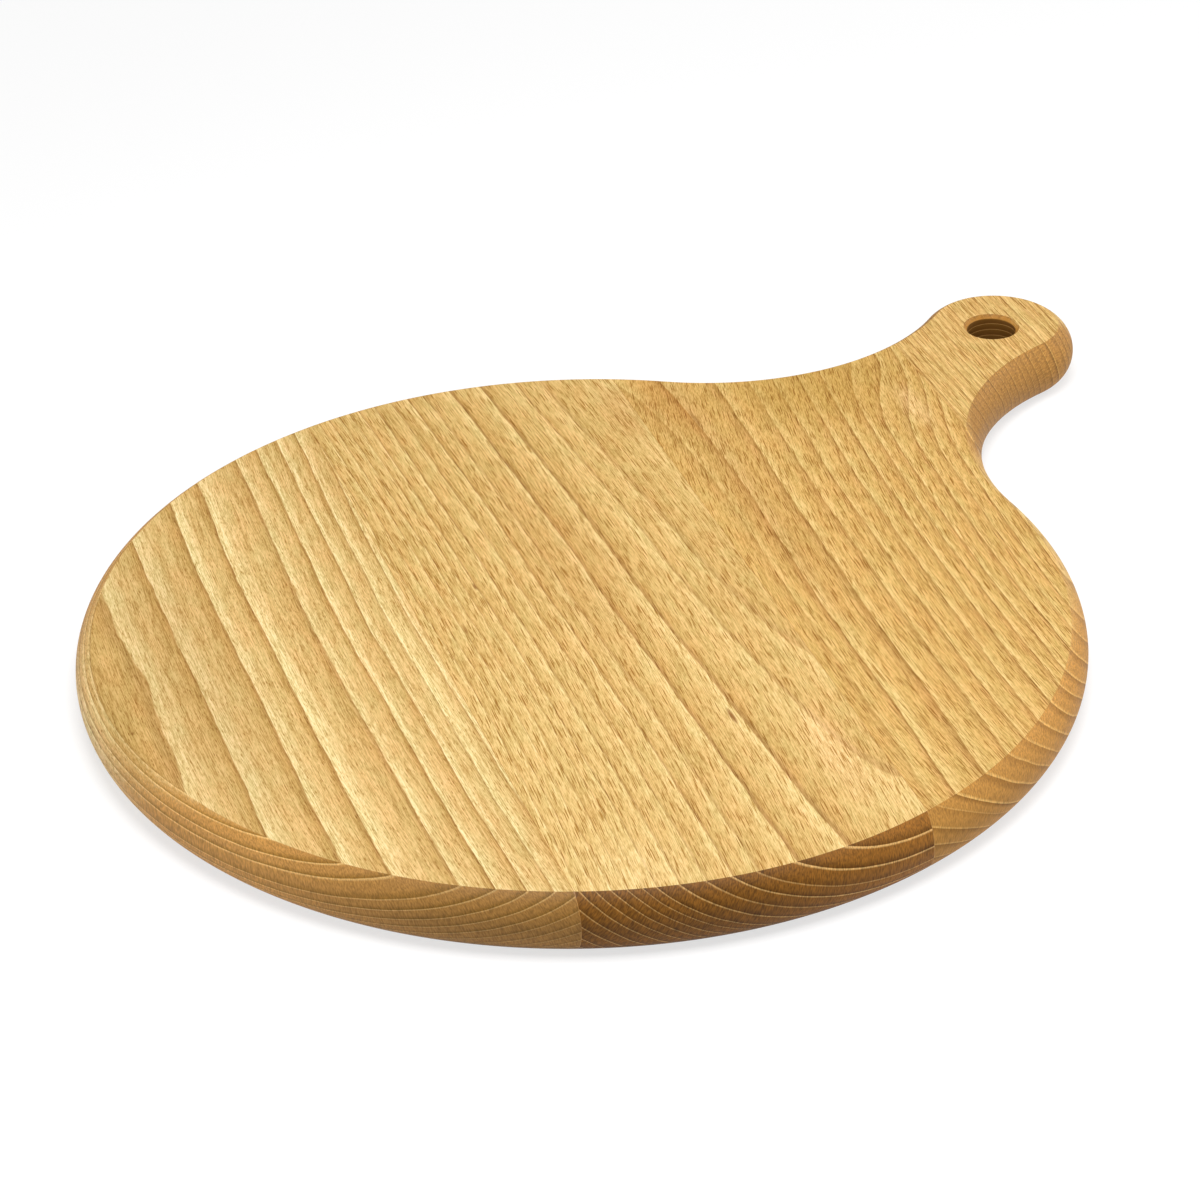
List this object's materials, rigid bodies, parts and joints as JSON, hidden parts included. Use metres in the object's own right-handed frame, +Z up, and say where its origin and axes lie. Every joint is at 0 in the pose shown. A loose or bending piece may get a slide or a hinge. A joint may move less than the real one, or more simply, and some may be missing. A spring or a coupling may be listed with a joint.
{
  "type": "pizza serving board",
  "caption": "Round wooden serving board with a short rounded handle and a drilled hanging hole, edge-glued from solid beech staves, with a convex rim.",
  "frame": {"origin": "middle of the board's outline, on its underside", "axes": "+Z up out of the serving face, +Y along the board towards the handle, +X to the right of the handle seen from above"},
  "size_m": [0.305, 0.41, 0.019],
  "materials": {
    "beech_outer": "planed, sanded and lightly oiled beech, flat-sawn bands",
    "beech_middle": "planed, sanded and lightly oiled beech, flecked grain",
    "beech_neck": "planed, sanded and lightly oiled beech, golden straight grain",
    "beech_handle": "planed, sanded and lightly oiled beech, tight straight grain",
    "wood_glue": "set wood glue, flush with the wood"
  },
  "bodies": {
    "root": {"outer_stave": "beech_outer", "middle_stave": "beech_middle", "neck_stave": "beech_neck", "handle_stave": "beech_handle", "glue_line_1": "wood_glue", "glue_line_2": "wood_glue", "glue_line_3": "wood_glue"}
  },
  "joints": []
}
